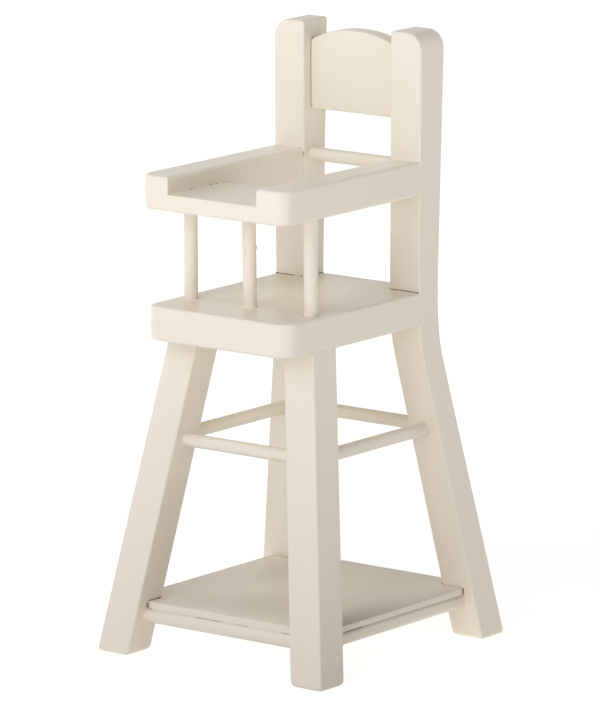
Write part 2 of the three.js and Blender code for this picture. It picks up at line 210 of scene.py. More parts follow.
def dowelTree():  # a round rod between two faces, flared at each end where the paint has pooled
    tree, given = newTree("paintedDowel", [
        ("Start", "Vector"), ("End", "Vector"), ("Start_Face", "Vector"), ("End_Face", "Vector"),
        ("Radius", "Float"), ("Flare", "Float"), ("Sink", "Float"),
        ("Rings", "Int"), ("Sides", "Int"), ("Crowding", "Float"), ("Material", "Material")])
    line = addNode(tree, "GeometryNodeCurvePrimitiveLine", {"Start": given["Start"], "End": given["End"]})
    rings = addNode(tree, "GeometryNodeResampleCurve", {"Curve": line.outputs[0], "Count": given["Rings"]})
    along = tree.nodes.new("GeometryNodeSplineParameter").outputs["Factor"]
    # rings crowd towards both ends, where the flare needs them
    wave = maths(tree, "SINE", maths(tree, "MULTIPLY", along, 2 * math.pi))
    crowd = maths(tree, "DIVIDE", maths(tree, "MULTIPLY", wave, given["Crowding"]), 2 * math.pi)
    share = maths(tree, "SUBTRACT", along, crowd)
    reach = vectors(tree, "SUBTRACT", given["End"], given["Start"])
    place = vectors(tree, "ADD", given["Start"], scaled(tree, reach, share))
    placed = addNode(tree, "GeometryNodeSetPosition", {"Geometry": rings.outputs[0], "Position": place})
    spot = tree.nodes.new("GeometryNodeInputPosition").outputs[0]
    nearStart = vectors(tree, "DISTANCE", spot, given["Start"])
    nearEnd = vectors(tree, "DISTANCE", spot, given["End"])
    depth = maths(tree, "SUBTRACT", maths(tree, "MINIMUM", nearStart, nearEnd), given["Sink"])
    rise = addNode(tree, "ShaderNodeClamp", {"Value": maths(tree, "DIVIDE", depth, given["Flare"])})
    left = maths(tree, "POWER", maths(tree, "SUBTRACT", 1.0, rise.outputs[0]), 2.0)
    curve = maths(tree, "SUBTRACT", 1.0, maths(tree, "SQRT", maths(tree, "SUBTRACT", 1.0, left)))
    width = maths(tree, "ADD", given["Radius"], maths(tree, "MULTIPLY", curve, given["Flare"]))
    circle = addNode(tree, "GeometryNodeCurvePrimitiveCircle", {
        "Resolution": given["Sides"], "Radius": 1.0})
    tube = addNode(tree, "GeometryNodeCurveToMesh", {
        "Curve": placed.outputs[0], "Profile Curve": circle.outputs[0], "Scale": width, "Fill Caps": True})
    # each end is sheared to lie in the face that it meets
    axis = vectors(tree, "NORMALIZE", reach)
    fromStart = vectors(tree, "SUBTRACT", spot, given["Start"])
    travel = vectors(tree, "DOT_PRODUCT", fromStart, axis)
    radial = vectors(tree, "SUBTRACT", fromStart, scaled(tree, axis, travel))
    part = maths(tree, "DIVIDE", travel, vectors(tree, "LENGTH", reach))
    shift = 0.0
    for face, weight in (("Start_Face", maths(tree, "SUBTRACT", 1.0, part)), ("End_Face", part)):
        lean = maths(tree, "DIVIDE", vectors(tree, "DOT_PRODUCT", radial, given[face]),
                     vectors(tree, "DOT_PRODUCT", axis, given[face]))
        hold = maths(tree, "POWER", maths(tree, "MAXIMUM", weight, 0.0), 4.0)
        shift = maths(tree, "SUBTRACT", shift, maths(tree, "MULTIPLY", lean, hold))
    sheared = addNode(tree, "GeometryNodeSetPosition", {
        "Geometry": tube.outputs[0], "Offset": scaled(tree, axis, shift)})
    smooth = addNode(tree, "GeometryNodeSetShadeSmooth", {"Geometry": sheared.outputs[0]})
    return finishTree(tree, smooth.outputs[0], given["Material"])


def beadTree():  # a concave bead of paint in the corner between two faces, thinning out at its ends
    tree, given = newTree("paintBead", [
        ("Start", "Vector"), ("End", "Vector"), ("Side_A", "Vector"), ("Side_B", "Vector"),
        ("Radius", "Float"), ("Taper", "Float"), ("Points", "Int"), ("Rings", "Int"),
        ("Material", "Material")])
    grid = addNode(tree, "GeometryNodeMeshGrid", {
        "Size X": 1.0, "Size Y": 1.0, "Vertices X": given["Points"], "Vertices Y": given["Rings"]})
    flatSpot = tree.nodes.new("GeometryNodeInputPosition").outputs[0]
    unit = addNode(tree, "ShaderNodeSeparateXYZ", {0: flatSpot})
    around = maths(tree, "ADD", unit.outputs["X"], 0.5)
    along = maths(tree, "ADD", unit.outputs["Y"], 0.5)
    # the first and the last column lie in the corner itself, the others on the arc
    column = maths(tree, "MULTIPLY", around, maths(tree, "SUBTRACT", given["Points"], 1.0))
    toLast = maths(tree, "SUBTRACT", maths(tree, "SUBTRACT", given["Points"], 1.0), column)
    onArc = maths(tree, "GREATER_THAN", maths(tree, "MINIMUM", column, toLast), 0.5)
    arcSteps = maths(tree, "SUBTRACT", given["Points"], 3.0)
    share = maths(tree, "DIVIDE", maths(tree, "SUBTRACT", column, 1.0), arcSteps)
    turn = maths(tree, "MULTIPLY", share, math.pi / 2)
    length = vectors(tree, "SUBTRACT", given["End"], given["Start"])
    nearer = maths(tree, "MINIMUM", along, maths(tree, "SUBTRACT", 1.0, along))
    toEnd = maths(tree, "MULTIPLY", nearer, vectors(tree, "LENGTH", length))
    full = maths(tree, "MINIMUM", maths(tree, "DIVIDE", toEnd, given["Taper"]), 1.0)
    thinning = maths(tree, "SQRT", maths(tree, "MAXIMUM", full, 0.0))
    radius = maths(tree, "MULTIPLY", given["Radius"], thinning)
    size = maths(tree, "MULTIPLY", radius, onArc)
    reachA = maths(tree, "MULTIPLY", maths(tree, "SUBTRACT", 1.0, maths(tree, "SINE", turn)), size)
    reachB = maths(tree, "MULTIPLY", maths(tree, "SUBTRACT", 1.0, maths(tree, "COSINE", turn)), size)
    stepA, stepB = scaled(tree, given["Side_A"], reachA), scaled(tree, given["Side_B"], reachB)
    inCorner = vectors(tree, "ADD", given["Start"], scaled(tree, length, along))
    place = vectors(tree, "ADD", inCorner, vectors(tree, "ADD", stepA, stepB))
    sheet = addNode(tree, "GeometryNodeSetPosition", {"Geometry": grid.outputs[0], "Position": place})
    whole = addNode(tree, "GeometryNodeMergeByDistance", {"Geometry": sheet.outputs[0], "Distance": hair})
    smooth = addNode(tree, "GeometryNodeSetShadeSmooth", {"Geometry": whole.outputs[0]})
    angle = tree.nodes.new("GeometryNodeInputMeshEdgeAngle").outputs["Unsigned Angle"]
    edge = maths(tree, "GREATER_THAN", angle, math.radians(60))
    crisp = addNode(tree, "GeometryNodeSetShadeSmooth", {
        "Geometry": smooth.outputs[0], "Selection": edge, "Shade Smooth": False}, domain="EDGE")
    return finishTree(tree, crisp.outputs[0], given["Material"])


def grimeTree():  # uneven threads of dirt along the edges of a mesh, each vertex with its own thickness
    tree, given = newTree("jointGrime", [
        ("Lines", "Geometry"), ("Spacing", "Float"), ("Taper", "Float"), ("Noise_Scale", "Float"),
        ("Unevenness", "Float"), ("Sides", "Int"), ("Material", "Material")])
    lines = addNode(tree, "GeometryNodeMeshToCurve", {"Mesh": given["Lines"]})
    steps = addNode(tree, "GeometryNodeResampleCurve", {
        "Curve": lines.outputs[0], "Length": given["Spacing"]}, mode="LENGTH")
    thick = addNode(tree, "GeometryNodeInputNamedAttribute", {"Name": "thickness"}, data_type="FLOAT")
    travelled = tree.nodes.new("GeometryNodeSplineParameter").outputs["Length"]
    total = tree.nodes.new("GeometryNodeSplineLength").outputs["Length"]
    toEnd = maths(tree, "MINIMUM", travelled, maths(tree, "SUBTRACT", total, travelled))
    full = maths(tree, "MINIMUM", maths(tree, "DIVIDE", toEnd, given["Taper"]), 1.0)
    blunt = maths(tree, "SQRT", maths(tree, "MAXIMUM", full, 0.02))
    noise = addNode(tree, "ShaderNodeTexNoise", {"Scale": given["Noise_Scale"], "Detail": 1.0})
    uneven = maths(tree, "MULTIPLY", maths(tree, "SUBTRACT", noise.outputs[0], 0.5), given["Unevenness"])
    width = maths(tree, "MULTIPLY", maths(tree, "MULTIPLY", thick.outputs[0], blunt),
                  maths(tree, "MAXIMUM", maths(tree, "ADD", uneven, 1.0), 0.1))
    circle = addNode(tree, "GeometryNodeCurvePrimitiveCircle", {
        "Resolution": given["Sides"], "Radius": 1.0})
    threads = addNode(tree, "GeometryNodeCurveToMesh", {
        "Curve": steps.outputs[0], "Profile Curve": circle.outputs[0], "Scale": width, "Fill Caps": True})
    smooth = addNode(tree, "GeometryNodeSetShadeSmooth", {"Geometry": threads.outputs[0]})
    return finishTree(tree, smooth.outputs[0], given["Material"])


def archTree():  # an upright board whose top is an arch between its two shoulders
    tree, given = newTree("archedBoard", [
        ("Bottom_Half", "Float"), ("Shoulder_Half", "Float"), ("Bottom", "Float"), ("Shoulder", "Float"),
        ("Crown", "Float"), ("Fullness", "Float"), ("Front", "Float"), ("Thickness", "Float"),
        ("Steps", "Int"), ("Material", "Material")])
    grid = addNode(tree, "GeometryNodeMeshGrid", {
        "Size X": 2.0, "Size Y": 1.0, "Vertices X": given["Steps"], "Vertices Y": 2})
    flatSpot = tree.nodes.new("GeometryNodeInputPosition").outputs[0]
    unit = addNode(tree, "ShaderNodeSeparateXYZ", {0: flatSpot})
    across, upper = unit.outputs["X"], maths(tree, "GREATER_THAN", unit.outputs["Y"], 0.0)
    rise = maths(tree, "SUBTRACT", given["Crown"], given["Shoulder"])
    arcX = maths(tree, "MULTIPLY", given["Shoulder_Half"], across)
    fall = maths(tree, "POWER", maths(tree, "ABSOLUTE", across), given["Fullness"])
    arcZ = maths(tree, "SUBTRACT", given["Crown"], maths(tree, "MULTIPLY", rise, fall))
    flatX = maths(tree, "MULTIPLY", given["Bottom_Half"], across)
    x = addNode(tree, "ShaderNodeMix", {0: upper, 2: flatX, 3: arcX}).outputs[0]
    z = addNode(tree, "ShaderNodeMix", {0: upper, 2: given["Bottom"], 3: arcZ}).outputs[0]
    place = addNode(tree, "ShaderNodeCombineXYZ", {"X": x, "Y": given["Front"], "Z": z}).outputs[0]
    face = addNode(tree, "GeometryNodeSetPosition", {"Geometry": grid.outputs[0], "Position": place})
    back = addNode(tree, "ShaderNodeCombineXYZ", {"Y": given["Thickness"]}).outputs[0]
    turned = addNode(tree, "GeometryNodeFlipFaces", {"Mesh": face.outputs[0]})
    body = addNode(tree, "GeometryNodeExtrudeMesh", {
        "Mesh": turned.outputs[0], "Offset": back, "Offset Scale": 1.0, "Individual": False})
    both = tree.nodes.new("GeometryNodeJoinGeometry")
    tree.links.new(body.outputs[0], both.inputs[0])
    tree.links.new(face.outputs[0], both.inputs[0])
    whole = addNode(tree, "GeometryNodeMergeByDistance", {"Geometry": both.outputs[0], "Distance": 1e-7})
    return finishTree(tree, whole.outputs[0], given["Material"])


# Finishes

satinPaint = {
    "light": (0.86, 0.775, 0.645), "dark": (0.84, 0.755, 0.625), "cloud": 22.0,
    "roughness": (0.32, 0.42), "orangePeel": 0.008 * mm, "peelScale": 900.0,
    "grain": 0.007 * mm, "grainScale": 700.0,
}


def paintMaterial(name, look, along=(1, 1, 0.06)):
    material = bpy.data.materials.new(name)
    material.use_nodes = True
    tree = material.node_tree
    shader = tree.nodes["Principled BSDF"]
    spot = tree.nodes.new("ShaderNodeTexCoord").outputs["Object"]
    cloud = addNode(tree, "ShaderNodeTexNoise", {"Vector": spot, "Scale": look["cloud"], "Detail": 3.0})
    tint = addNode(tree, "ShaderNodeMix", {
        0: cloud.outputs[0], 6: (*look["dark"], 1), 7: (*look["light"], 1)}, data_type="RGBA")
    tree.links.new(tint.outputs[2], shader.inputs["Base Color"])
    glossy, dull = look["roughness"]
    gloss = addNode(tree, "ShaderNodeMapRange", {
        "Value": cloud.outputs[0], "From Min": 0.3, "From Max": 0.7, "To Min": glossy, "To Max": dull})
    tree.links.new(gloss.outputs[0], shader.inputs["Roughness"])
    fibres = addNode(tree, "ShaderNodeMapping", {"Vector": spot, "Scale": along})
    grain = addNode(tree, "ShaderNodeTexNoise", {
        "Vector": fibres.outputs[0], "Scale": look["grainScale"], "Detail": 2.0})
    peel = addNode(tree, "ShaderNodeTexNoise", {"Vector": spot, "Scale": look["peelScale"], "Detail": 1.0})
    woodBump = addNode(tree, "ShaderNodeBump", {
        "Height": grain.outputs[0], "Distance": look["grain"], "Strength": 1.0})
    paintBump = addNode(tree, "ShaderNodeBump", {
        "Height": peel.outputs[0], "Distance": look["orangePeel"], "Strength": 1.0,
        "Normal": woodBump.outputs[0]})
    tree.links.new(paintBump.outputs[0], shader.inputs["Normal"])
    shader.inputs["IOR"].default_value = 1.5
    return material


paint["painted_wood"] = paintMaterial("creamPaintOnBoards", satinPaint)
paint["painted_dowel"] = paintMaterial("creamPaintOnDowels", satinPaint)
# the shelf's paint also carries a painted shadow of the right front leg, added below
paint["painted_board"] = paintMaterial("creamPaintOnShelfWithPaintedLegShadow", dict(satinPaint, roughness=(0.42, 0.54)),
                                       along=(1, 0.06, 1))
paint["grime"] = paintMaterial("settledDust", dict(
    satinPaint, light=(0.16, 0.115, 0.07), dark=(0.07, 0.05, 0.03), cloud=400.0, roughness=(0.7, 0.85)))
paint["bare_wood"] = paintMaterial("beechPins", dict(
    satinPaint, light=(0.62, 0.42, 0.22), dark=(0.5, 0.31, 0.15), roughness=(0.6, 0.75)))

# a painted shadow of the right front leg on the shelf's right side, darkest behind the leg and gone at the
# reach
legShadowPatch = {"inset": 8 * mm, "reach": (14 * mm, 70 * mm, 0.6 * mm), "depth": 0.65,
          "colour": (0.10, 0.08, 0.06)}


# mixes the base colour towards dark brown round a spot: a painted shadow, deepest at the spot and gone at
# the reach
def addPaintedLegShadow(material, spot):
    tree = material.node_tree
    shader = tree.nodes["Principled BSDF"]
    unshaded = shader.inputs["Base Color"].links[0].from_socket
    place = tree.nodes.new("ShaderNodeTexCoord").outputs["Object"]
    steps = vectors(tree, "DIVIDE", vectors(tree, "SUBTRACT", place, spot), legShadowPatch["reach"])
    legShade = addNode(tree, "ShaderNodeMapRange", {
        "Value": vectors(tree, "LENGTH", steps), "To Min": legShadowPatch["depth"], "To Max": 0.0}).outputs[0]
    shadowed = addNode(tree, "ShaderNodeMix", {
        0: legShade, 6: unshaded, 7: (*legShadowPatch["colour"], 1)}, data_type="RGBA")
    tree.links.new(shadowed.outputs[2], shader.inputs["Base Color"])


# the painted shadow of the right front leg, on the shelf's right edge just behind the leg
addPaintedLegShadow(paint["painted_board"], (shelfHigh.x, shelfLow.y + legShadowPatch["inset"], shelfHigh.z))


# Posts and legs

# the rounding of the edges, and the share of it that each kind of edge gets
barEdges = {"round": 1.2 * mm, "upright": 0.46, "foot": 1.3, "top": 0.75}

# rings of corners stand one ring's height apart, and none nearer to a joint than a share of that
rearPost = {"topCorner": 5.3 * mm, "cornerSteps": 12, "ring": 3 * mm, "nearestShare": 0.2,
            "margin": 0.5 * mm, "chamfer": 1.5 * mm}


def corners(section, height):
    x0, x1, y0, y1 = section
    return [Vector(c) for c in ((x0, y0, height), (x1, y0, height), (x1, y1, height), (x0, y1, height))]


def makeRearPost(side, sign):
    node = side + "_rear_post"
    look = rearPost
    cornerStart = postTop - look["topCorner"]
    joints = ((seatLow.z, seatHigh.z), (armLow.z, armHigh.z))  # boards that end at its front
    meets = [z for joint in joints for z in joint]
    levels = [z for z in np.arange(look["ring"], cornerStart - look["margin"], look["ring"])
              if min(abs(z - m) for m in meets) > look["nearestShare"] * look["ring"]]
    levels = sorted(levels + meets) + [cornerStart]
    rings = [corners(sectionPastChamfer(node, 0, look["chamfer"]), 0.0)]
    rings += [corners(sectionAt(node, z), z) for z in levels]
    # above the corner's start the outer side turns in on a quarter circle
    near, far = rings[-2], rings[-1]
    outer = (1, 2) if sign > 0 else (0, 3)
    cornerLevel = len(rings) - 1
    for step in range(1, look["cornerSteps"] + 1):
        turn = math.pi / 2 * step / look["cornerSteps"]
        rise = look["topCorner"] * math.sin(turn)
        ring = [f + (f - n) * (rise / (f.z - n.z)) for n, f in zip(near, far)]
        for i in outer:
            ring[i].x -= sign * look["topCorner"] * (1 - math.cos(turn))
        rings.append(ring)
    last = len(rings) - 1
    heights = [ring[0].z for ring in rings]

    def share(a, b):
        (levelA, i), (levelB, j) = a, b
        if levelA != levelB:
            low, high = heights[levelA] + hair, heights[levelB] - hair
            if i == outer[0] and any(under < low and high < over for under, over in joints):
                return 0.0
            # round the corner the rims widen step by step to what they are on top
            turned = max(levelB - cornerLevel, 0) / look["cornerSteps"] if i in outer else 0.0
            return barEdges["upright"] + (barEdges["top"] - barEdges["upright"]) * turned
        if levelA == 0:
            return barEdges["foot"]
        if {i, j} == set(outer):
            return 0.0
        if levelA == last:
            return barEdges["top"]
        return None if levelA > cornerLevel else 0.0

    post = softEdges(loft(node + "_painted", rings, share), barEdges["round"])
    settle(post, "painted_wood", node)


# the leg is measured at a low and a high level; paint makes its sides a little wider or narrower, at the
# foot and under the seat
frontLeg = {"low": 10 * mm, "high": 80 * mm, "intoSeat": 0.3 * mm, "inner": (0.3 * mm, 0.15 * mm),
            "outer": (0.1 * mm, -0.2 * mm)}


def painted(face, z):  # how far the painted side stands off the bare one
    foot, top = frontLeg[face]
    return foot + (top - foot) * z / seatLow.z


def makeFrontLeg(side, sign):  # a straight bar, so two sections give its four edges
    node = side + "_front_leg"
    look = frontLeg
    low, high = (corners(sectionAt(node, z), z) for z in (look["low"], look["high"]))
    ends = (0.0, seatLow.z + look["intoSeat"])
    rings = [[a + (b - a) * ((z - a.z) / (b.z - a.z)) for a, b in zip(low, high)] for z in ends]
    inner = (0, 3) if sign > 0 else (1, 2)
    for ring in rings:
        for i, corner in enumerate(ring):
            z = corner.z
            corner.x += sign * (-painted("inner", z) if i in inner else painted("outer", z))

    def share(a, b):
        if a[0] != b[0]:
            return barEdges["upright"]
        return 0.0 if a[0] else barEdges["foot"]

    leg = softEdges(loft(node + "_painted", rings, share), barEdges["round"])
    settle(leg, "painted_wood", node)


for side, sign in sides.items():
    makeRearPost(side, sign)
    makeFrontLeg(side, sign)
print("posts and legs made")


# Boards

def arc(x, y, radius, start, end, steps=10):
    turns = [math.radians(start + (end - start) * i / steps) for i in range(steps + 1)]
    return [(x + radius * math.cos(t), y + radius * math.sin(t)) for t in turns]


# outline: points, each with the rounding share of its upright edge and of the rim up to the next point,
# which is a pair where the lower and the upper rim differ
def makeBoard(name, outline, levels, width, uprights=None, ties=()):
    rings = [[Vector((x, y, z)) for (x, y), upright, rim in outline] for z in levels]
    last, count = len(levels) - 1, len(outline)

    def share(a, b):
        (levelA, i), (levelB, j) = a, b
        if levelA != levelB:
            return outline[i][1] if uprights is None else uprights(i, levelA)
        if levelA not in (0, last) or (i, j) in ties:
            return 0.0
        # a rim belongs to the point before it, and the closing one to the last point
        rim = outline[j if (i, j) == (0, count - 1) else i][2]
        if isinstance(rim, tuple):
            return rim[1 if levelA == last else 0]
        return rim

    return softEdges(loft(name, rings, share, ties), width)


def mirrored(outline):  # the same outline on the other side, its rims again up to the next point
    points = [((-x, y), upright) for (x, y), upright, rim in outline[::-1]]
    rims = [rim for point, upright, rim in outline[::-1]]
    return [(point, upright, rim) for (point, upright), rim in zip(points, rims[1:] + rims[:1])]


def arcPoints(points, rim):  # points of a round stretch have no upright edge to soften
    return [(point, 0.0, rim) for point in points]


# the joint to the posts is closed for a short way in from the sides, and open behind that
seatBoard = {"round": 1.0 * mm, "corner": 5.15 * mm, "joint": 0.002 * mm, "gap": 0.3 * mm,
             "closed": 1.3 * mm}


def makeSeat():
    look = seatBoard
    w, front, back = seatHigh.x, seatLow.y, seatHigh.y
    r = look["corner"]
    notchX, notchY, jointY = postInner - look["gap"], postFront - look["gap"], postFront - look["joint"]
    gapEnd = w - look["closed"]
    right = arcPoints(arc(w - r, front + r, r, -90, 0), 1.0)
    right += [((w, jointY), 0.0, 0.0), ((gapEnd, jointY), 0.0, 0.0), ((gapEnd, notchY), 0.0, 0.0),
              ((notchX, notchY), 0.0, 0.0), ((notchX, back), 1.0, 1.0)]
    outline = right + mirrored(right)
    notch = len(right) - 2
    ties = [(notch, len(outline) - 1 - notch)]
    seat = makeBoard("seat_painted", outline, [seatLow.z, seatHigh.z], look["round"], ties=ties)
    settle(seat, "painted_wood", "seat")


armBoard = {"round": 1.1 * mm, "corner": 4.5 * mm, "joint": 0.002 * mm, "innerShare": 0.45}


def makeArm(side, sign):
    look = armBoard
    inner, outer = armLow.x, armHigh.x
    front, back = armLow.y, postFront - look["joint"]
    r = look["corner"]
    # the lower inner rim is sharp where the tray is let in flush
    outline = [((inner, back), 0.0, (0.0, 1.0)), ((inner, front), 0.0, 1.0)]
    outline += arcPoints(arc(outer - r, front + r, r, -90, 0), 1.0)
    outline += [((outer, back), 0.0, 0.0)]
    if sign < 0:
        outline = mirrored(outline)

    def cornerShare(i, level):  # above the tray the inner front edge is softened too
        atInnerFront = outline[i][0] == (sign * inner, front)
        return look["innerShare"] if atInnerFront and level == 1 else 0.0

    levels = [armLow.z, trayHigh.z, armHigh.z]
    arm = makeBoard(side + "_arm_painted", outline, levels, look["round"], cornerShare)
    settle(arm, "painted_wood", side + "_arm")


trayBoard = {"round": 1.1 * mm, "gap": 0.01 * mm, "lipShare": 0.5, "backShare": 0.6}


def makeTray():
    look = trayBoard
    x = armLow.x - look["gap"]
    points = [(-x, trayLow.y), (x, trayLow.y), (x, trayHigh.y), (-x, trayHigh.y)]
    rings = [[Vector((px, py, z)) for px, py in points] for z in (trayLow.z, trayHigh.z)]

    def share(a, b):
        (levelA, i), (levelB, j) = a, b
        if levelA != levelB:
            return 0.0
        if (i, j) == (0, 1):
            return look["lipShare"] if levelA else 1.0
        return look["backShare"] if (i, j) == (2, 3) else 0.0

    tray = softEdges(loft("tray_board_painted", rings, share), look["round"])
    settle(tray, "painted_wood", "tray_board")


shelfBoard = {"round": 0.35 * mm, "gap": 0.3 * mm}


def makeShelf():
    look = shelfBoard
    leg, post = (sectionAt(node, shelfHigh.z) for node in ("right_front_leg", "right_rear_post"))
    notchX = min(leg[0], post[0]) - look["gap"]
    notchFront, notchBack = leg[3] + look["gap"], post[2] - look["gap"]
    w = shelfHigh.x
    right = [(notchX, shelfLow.y), (notchX, notchFront), (w, notchFront), (w, notchBack),
             (notchX, notchBack), (notchX, shelfHigh.y)]
    points = right + [(-x, y) for x, y in right[::-1]]
    outline = [(point, 1.0, 1.0) for point in points]
    outline[-1] = (points[-1], 1.0, (0.0, 1.0))  # its lower front rim is flush with the rail's paint
    ties = [(i, len(points) - 1 - i) for i in (1, 4)]
    shelf = makeBoard("foot_shelf_painted", outline, [shelfLow.z, shelfHigh.z], look["round"], ties=ties)
    settle(shelf, "painted_board", "foot_shelf")


backPanel = {"round": 0.45 * mm, "bevelSteps": 4, "sharpFrom": 50, "steps": 41, "joint": 0.002 * mm,
             "rise": 3.8 * mm, "fullness": 2.25}


def makePanel():
    look = backPanel
    shoulder = panelHigh.z - look["rise"]
    halfs = [sectionAt("right_rear_post", z)[0] - look["joint"] for z in (panelLow.z, shoulder)]
    panel = grow("back_panel_painted", archTree(), Bottom_Half=halfs[0], Shoulder_Half=halfs[1],
                 Bottom=panelLow.z, Shoulder=shoulder, Crown=panelHigh.z,
                 Fullness=look["fullness"], Front=panelLow.y, Thickness=panelHigh.y - panelLow.y,
                 Steps=look["steps"], Material=paint["painted_wood"])
    for face in panel.data.polygons:
        face.use_smooth = True
    bevel = panel.modifiers.new("softEdges", "BEVEL")
    bevel.limit_method = "ANGLE"
    bevel.angle_limit = math.radians(look["sharpFrom"])
    bevel.width = look["round"]
    bevel.segments = look["bevelSteps"]
    bevel.harden_normals = True
    settle(bake(panel), "painted_wood", "back_panel")


makeSeat()
for side, sign in sides.items():
    makeArm(side, sign)
makeTray()
makeShelf()
makePanel()
print("boards made")


# Dowels

dowel = {"flare": 0.3 * mm, "spindleFlare": 0.08 * mm, "sink": 0.08 * mm, "rings": 45, "sides": 40,
         "crowding": 0.96, "slopeStep": 2 * mm}
rod = dowelTree()


def faceOf(node, sideAxis, high, z):  # where the face of a leg is at a height, and its outward normal
    pick = {"x": (0, 1), "y": (2, 3)}[sideAxis][high]
    step = dowel["slopeStep"]
    here, above = sectionAt(node, z)[pick], sectionAt(node, z + step)[pick]
    slope = (above - here) / step
    sign = 1 if high else -1
    normal = Vector((sign, 0, -sign * slope)) if sideAxis == "x" else Vector((0, sign, -sign * slope))
    return here, normal.normalized()


def makeDowel(name, start, end, startFace, endFace, flare=dowel["flare"]):
    low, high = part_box(name)
    radius = min((high - low)[:]) / 2
    look = dowel
    start, end = Vector(start), Vector(end)
    along = (end - start).normalized() * look["sink"]
    piece = grow(name + "_painted", rod, Start=start - along, End=end + along, Start_Face=startFace,
                 End_Face=endFace, Radius=radius, Flare=flare, Sink=look["sink"],
                 Rings=look["rings"], Sides=look["sides"], Crowding=look["crowding"],
                 Material=paint["painted_dowel"])
    settle(piece, "painted_dowel", name)


def sidewaysRail(name, legs):
    low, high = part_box(name)
    y, z = (low.y + high.y) / 2, (low.z + high.z) / 2
    ends = [faceOf("left_" + legs, "x", 1, z), faceOf("right_" + legs, "x", 0, z)]
    x = ends[1][0] - (painted("inner", z) if legs == "front_leg" else 0.0)
    makeDowel(name, (-x, y, z), (x, y, z), ends[0][1], ends[1][1])


def lengthwiseRail(name, side):
    low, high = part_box(name)
    z = (low.z + high.z) / 2
    frontLimits, rearLimits = sectionAt(side + "_front_leg", z), sectionAt(side + "_rear_post", z)
    ends = [faceOf(side + "_front_leg", "y", 1, z), faceOf(side + "_rear_post", "y", 0, z)]
    x = [(limits[0] + limits[1]) / 2 for limits in (frontLimits, rearLimits)]
    makeDowel(name, (x[0], ends[0][0], z), (x[1], ends[1][0], z), ends[0][1], ends[1][1])


for level in ("upper", "lower"):
    sidewaysRail(level + "_front_rail", "front_leg")
    sidewaysRail(level + "_back_rail", "rear_post")
    for side in sides:
        lengthwiseRail(level + "_" + side + "_rail", side)
sidewaysRail("back_rod", "rear_post")

# how far each spindle stands off its place in x, at the seat and at the tray
askew = {"left": (0.0, 0.0), "middle": (-0.2 * mm, -0.55 * mm), "right": (0.0, 0.0)}


def makeSpindle(name, foot, top):
    low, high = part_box(name)
    x, y = (low.x + high.x) / 2, (low.y + high.y) / 2
    makeDowel(name, (x + foot, y, seatHigh.z), (x + top, y, armLow.z), (0, 0, 1), (0, 0, -1),
              dowel["spindleFlare"])


for place, (foot, top) in askew.items():
    makeSpindle(place + "_spindle", foot, top)
print("dowels made")


# Paint that has run together in the joints

bead = {"taper": 1.5 * mm, "points": 9, "ring": 0.3 * mm, "fewestRings": 8}
run = beadTree()
upward, forward = Vector((0, 0, 1)), Vector((0, -1, 0))


def makeBead(name, start, end, sideA, sideB, radius):
    start, end, sideA, sideB = Vector(start), Vector(end), Vector(sideA), Vector(sideB)
    if sideA.cross(sideB).dot(end - start) < 0:
        start, end = end, start
    rings = int((end - start).length / bead["ring"]) + bead["fewestRings"]
    piece = grow(name, run, Start=start, End=end, Side_A=sideA, Side_B=sideB, Radius=radius,
                 Taper=bead["taper"], Points=bead["points"], Rings=rings, Material=paint["painted_wood"])
    settle(piece, "painted_wood")


# radius of the bead in each joint, and how far its ends stay in or it sinks into a board
jointBead = {"arm": 0.6 * mm, "seat": 0.6 * mm, "leg": 0.5 * mm, "tray": 0.4 * mm, "panel": 0.55 * mm,
             "shelf": 0.75 * mm, "inset": 0.3 * mm, "shelfInset": 8 * mm, "underSeat": 1 * mm,
             "panelSink": 0.15 * mm, "shelfSink": 0.8 * mm}


def makeBeads(side, sign):
    look = jointBead
    inset = look["inset"]
    out = Vector((sign, 0, 0))
    across = (sign * (armLow.x + inset), sign * (armHigh.x - inset))
    for part, z, way, radius in (("arm_top", armHigh.z, upward, look["arm"]),
                                 ("arm_underside", armLow.z, -upward, look["arm"]),
                                 ("seat_underside", seatLow.z, -upward, look["seat"])):
        ends = [(x, postFront, z) for x in across]
        makeBead(side + "_" + part + "_bead", *ends, forward, way, radius)

    x, z = sign * armLow.x, trayHigh.z
    ends = [(x, y, z) for y in (trayLow.y + inset, trayHigh.y - inset)]
    makeBead(side + "_tray_bead", *ends, -out, upward, look["tray"])

    x, y = sign * postInner, panelLow.y + look["panelSink"]
    ends = [(x, y, z) for z in (panelLow.z + inset, panelHigh.z - backPanel["rise"] - inset)]
    makeBead(side + "_panel_bead", *ends, -out, forward, look["panel"])

    x, z = sign * (shelfHigh.x - look["shelfSink"]), shelfLow.z
    ends = [(x, y, z) for y in (shelfLow.y + look["shelfInset"], shelfHigh.y - look["shelfInset"])]
    makeBead(side + "_shelf_bead", *ends, out, -upward, look["shelf"])

    z = seatLow.z
    x0, x1, y0, y1 = sectionAt(side + "_front_leg", z - look["underSeat"])
    inner = (x0 if sign > 0 else x1) - sign * painted("inner", z)
    outer = (x1 if sign > 0 else x0) + sign * painted("outer", z)
    lines = {"front": ((inner, y0, z), (outer, y0, z), forward),
             "back": ((inner, y1, z), (outer, y1, z), -forward),
             "inner": ((inner, y0, z), (inner, y1, z), -out)}
    for part, (start, end, way) in lines.items():
        makeBead(side + "_leg_" + part + "_bead", start, end, way, -upward, look["leg"])


for side, sign in sides.items():
    makeBeads(side, sign)
print("paint beads made")


# Dark threads of dirt where the paint has cracked or pooled in the joints, and dark marks at the spindles'
# feet: start, end and thickness, in millimetres

